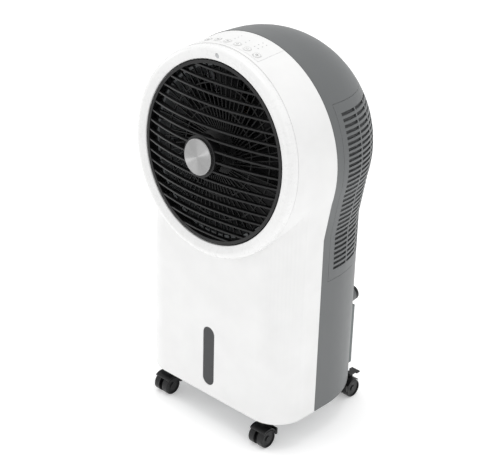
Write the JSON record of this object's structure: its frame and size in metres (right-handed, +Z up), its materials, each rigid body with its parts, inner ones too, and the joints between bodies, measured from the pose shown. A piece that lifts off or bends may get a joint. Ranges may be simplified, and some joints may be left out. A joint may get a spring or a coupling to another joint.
{
  "type": "evaporative air cooler",
  "caption": "Upright evaporative cooler on casters: round head with a turning louvre and skewed guard, slotted wrap-round intake, pull-out water tank, latches and push buttons.",
  "frame": {"origin": "middle of the bounding box on the floor", "axes": "+Z up, -Y is the front that the outlet blows out of, +X is the right-hand side seen from behind the front"},
  "size_m": [0.4426, 0.3594, 0.8207],
  "materials": {
    "white_plastic": "smooth satin",
    "white_ring": "polished",
    "button_white": "smooth",
    "panel_white": "smooth satin",
    "grey_plastic": "fine texture",
    "window_grey": "smoked clear plastic",
    "black_plastic": "semi gloss",
    "guard_black": "fine texture",
    "fan_black": "smooth",
    "spun_metal": "spun",
    "steel": "satin",
    "zinc_plate": "zinc plated",
    "motor_case": "painted",
    "board_green": "solder mask",
    "light_lens": "diffuse",
    "ir_grey": "smooth",
    "pad_brown": "corrugated",
    "frame_grey": "moulded",
    "pipe_clear": "flexible",
    "tank_clear": "translucent",
    "tank_grey": "fine texture",
    "float_orange": "moulded",
    "rubber_black": "matt",
    "pump_black": "moulded",
    "net_grey": "woven net",
    "wheel_black": "moulded"
  },
  "bodies": {
    "cabinet": {"front_shell": "white_plastic", "outlet_ring": "white_ring", "rear_shell": "grey_plastic", "base_tray": "frame_grey", "caster_sockets": "frame_grey", "water_window": "window_grey", "cord_gland": "rubber_black", "control_panel": "panel_white", "indicator_lights": "light_lens", "control_board": "board_green", "ir_window": "ir_grey", "swing_motor": "zinc_plate", "fan_guard": "guard_black", "fan_shroud": "frame_grey", "guard_screws": "steel", "fan_motor": "motor_case", "motor_bracket": "zinc_plate", "motor_screws": "steel", "cooling_pad": "pad_brown", "pad_frame": "frame_grey", "water_distributor": "frame_grey", "riser_pipe": "pipe_clear"},
    "louvre": {"outlet_grille": "black_plastic", "hub_cap": "spun_metal", "grille_shaft": "steel"},
    "rotor": {"fan": "fan_black", "fan_shaft": "steel"},
    "tank": {"water_tank": "tank_clear", "tank_face": "tank_grey", "pump_body": "pump_black", "pump_hose": "pipe_clear"},
    "impeller": {"pump_impeller": "button_white"},
    "float": {"level_float": "float_orange"},
    "drain": {"drain_plug": "rubber_black"},
    "left_latch": {"latch_left": "black_plastic"},
    "right_latch": {"latch_right": "black_plastic"},
    "intake": {"intake_panel": "grey_plastic", "dust_filter": "net_grey"},
    "button_swing": {"swing_button": "button_white"},
    "button_timer": {"timer_button": "button_white"},
    "button_mode": {"mode_button": "button_white"},
    "button_cool": {"cool_button": "button_white"},
    "button_speed": {"speed_button": "button_white"},
    "button_power": {"power_button": "button_white"},
    "caster_fl": {"caster_hood_fl": "black_plastic"},
    "wheels_fl": {"caster_wheels_fl": "wheel_black"},
    "caster_fr": {"caster_hood_fr": "black_plastic"},
    "wheels_fr": {"caster_wheels_fr": "wheel_black"},
    "caster_rl": {"caster_hood_rl": "black_plastic"},
    "wheels_rl": {"caster_wheels_rl": "wheel_black"},
    "brake_rl": {"brake_lever_rl": "black_plastic"},
    "caster_rr": {"caster_hood_rr": "black_plastic"},
    "wheels_rr": {"caster_wheels_rr": "wheel_black"},
    "brake_rr": {"brake_lever_rr": "black_plastic"}
  },
  "joints": [
    {"name": "fan_spin", "type": "hinge", "parent": "cabinet", "child": "rotor", "pos_m": [0, -0.1386, 0.606], "axis": [0, -0.9965, 0.0837], "continuous": true},
    {"name": "grille_turn", "type": "hinge", "parent": "cabinet", "child": "louvre", "pos_m": [0, -0.1386, 0.606], "axis": [0, -0.9965, 0.0837], "continuous": true},
    {"name": "pump_spin", "type": "hinge", "parent": "tank", "child": "impeller", "pos_m": [-0.092, 0.1234, 0.09], "axis": [0, 0, 1], "continuous": true},
    {"name": "tank_slide", "type": "slide", "parent": "cabinet", "child": "tank", "axis": [0, 1, 0], "range_m": [0, 0.3]},
    {"name": "float_rise", "type": "slide", "parent": "tank", "child": "float", "axis": [0, 0, 1], "range_m": [0, 0.085]},
    {"name": "drain_pull", "type": "slide", "parent": "tank", "child": "drain", "axis": [0, 1, 0], "range_m": [0, 0.03]},
    {"name": "latch_left_turn", "type": "hinge", "parent": "cabinet", "child": "left_latch", "pos_m": [-0.1195, 0.1667, 0.233], "axis": [0, 1, 0], "range_deg": [0, 90]},
    {"name": "latch_right_turn", "type": "hinge", "parent": "cabinet", "child": "right_latch", "pos_m": [0.1195, 0.1667, 0.233], "axis": [0, 1, 0], "range_deg": [-90, 0]},
    {"name": "panel_slide", "type": "slide", "parent": "cabinet", "child": "intake", "axis": [0, 1, 0], "range_m": [0, 0.25]},
    {"name": "swing_press", "type": "slide", "parent": "cabinet", "child": "button_swing", "axis": [0.294, 0.0788, -0.9526], "range_m": [0, 0.0012], "stiffness_N_per_m": 300},
    {"name": "timer_press", "type": "slide", "parent": "cabinet", "child": "button_timer", "axis": [0.1781, 0.0772, -0.981], "range_m": [0, 0.0012], "stiffness_N_per_m": 300},
    {"name": "mode_press", "type": "slide", "parent": "cabinet", "child": "button_mode", "axis": [0.0597, 0.0764, -0.9953], "range_m": [0, 0.0012], "stiffness_N_per_m": 300},
    {"name": "cool_press", "type": "slide", "parent": "cabinet", "child": "button_cool", "axis": [-0.0597, 0.0764, -0.9953], "range_m": [0, 0.0012], "stiffness_N_per_m": 300},
    {"name": "speed_press", "type": "slide", "parent": "cabinet", "child": "button_speed", "axis": [-0.1781, 0.0772, -0.981], "range_m": [0, 0.0012], "stiffness_N_per_m": 300},
    {"name": "power_press", "type": "slide", "parent": "cabinet", "child": "button_power", "axis": [-0.294, 0.0788, -0.9526], "range_m": [0, 0.0012], "stiffness_N_per_m": 300},
    {"name": "caster_swivel_fl", "type": "hinge", "parent": "cabinet", "child": "caster_fl", "pos_m": [-0.14, -0.1006, 0.05], "axis": [0, 0, 1], "continuous": true},
    {"name": "caster_roll_fl", "type": "hinge", "parent": "caster_fl", "child": "wheels_fl", "pos_m": [-0.14, -0.1226, 0.02], "axis": [1, 0, 0], "continuous": true},
    {"name": "caster_swivel_fr", "type": "hinge", "parent": "cabinet", "child": "caster_fr", "pos_m": [0.14, -0.1006, 0.05], "axis": [0, 0, 1], "continuous": true},
    {"name": "caster_roll_fr", "type": "hinge", "parent": "caster_fr", "child": "wheels_fr", "pos_m": [0.14, -0.1226, 0.02], "axis": [1, 0, 0], "continuous": true},
    {"name": "caster_swivel_rl", "type": "hinge", "parent": "cabinet", "child": "caster_rl", "pos_m": [-0.14, 0.1274, 0.05], "axis": [0, 0, 1], "continuous": true},
    {"name": "caster_roll_rl", "type": "hinge", "parent": "caster_rl", "child": "wheels_rl", "pos_m": [-0.14, 0.1494, 0.02], "axis": [1, 0, 0], "continuous": true},
    {"name": "brake_press_rl", "type": "hinge", "parent": "caster_rl", "child": "brake_rl", "pos_m": [-0.14, 0.1514, 0.047], "axis": [1, 0, 0], "range_deg": [-15, 0]},
    {"name": "caster_swivel_rr", "type": "hinge", "parent": "cabinet", "child": "caster_rr", "pos_m": [0.14, 0.1274, 0.05], "axis": [0, 0, 1], "continuous": true},
    {"name": "caster_roll_rr", "type": "hinge", "parent": "caster_rr", "child": "wheels_rr", "pos_m": [0.14, 0.1494, 0.02], "axis": [1, 0, 0], "continuous": true},
    {"name": "brake_press_rr", "type": "hinge", "parent": "caster_rr", "child": "brake_rr", "pos_m": [0.14, 0.1514, 0.047], "axis": [1, 0, 0], "range_deg": [-15, 0]}
  ]
}
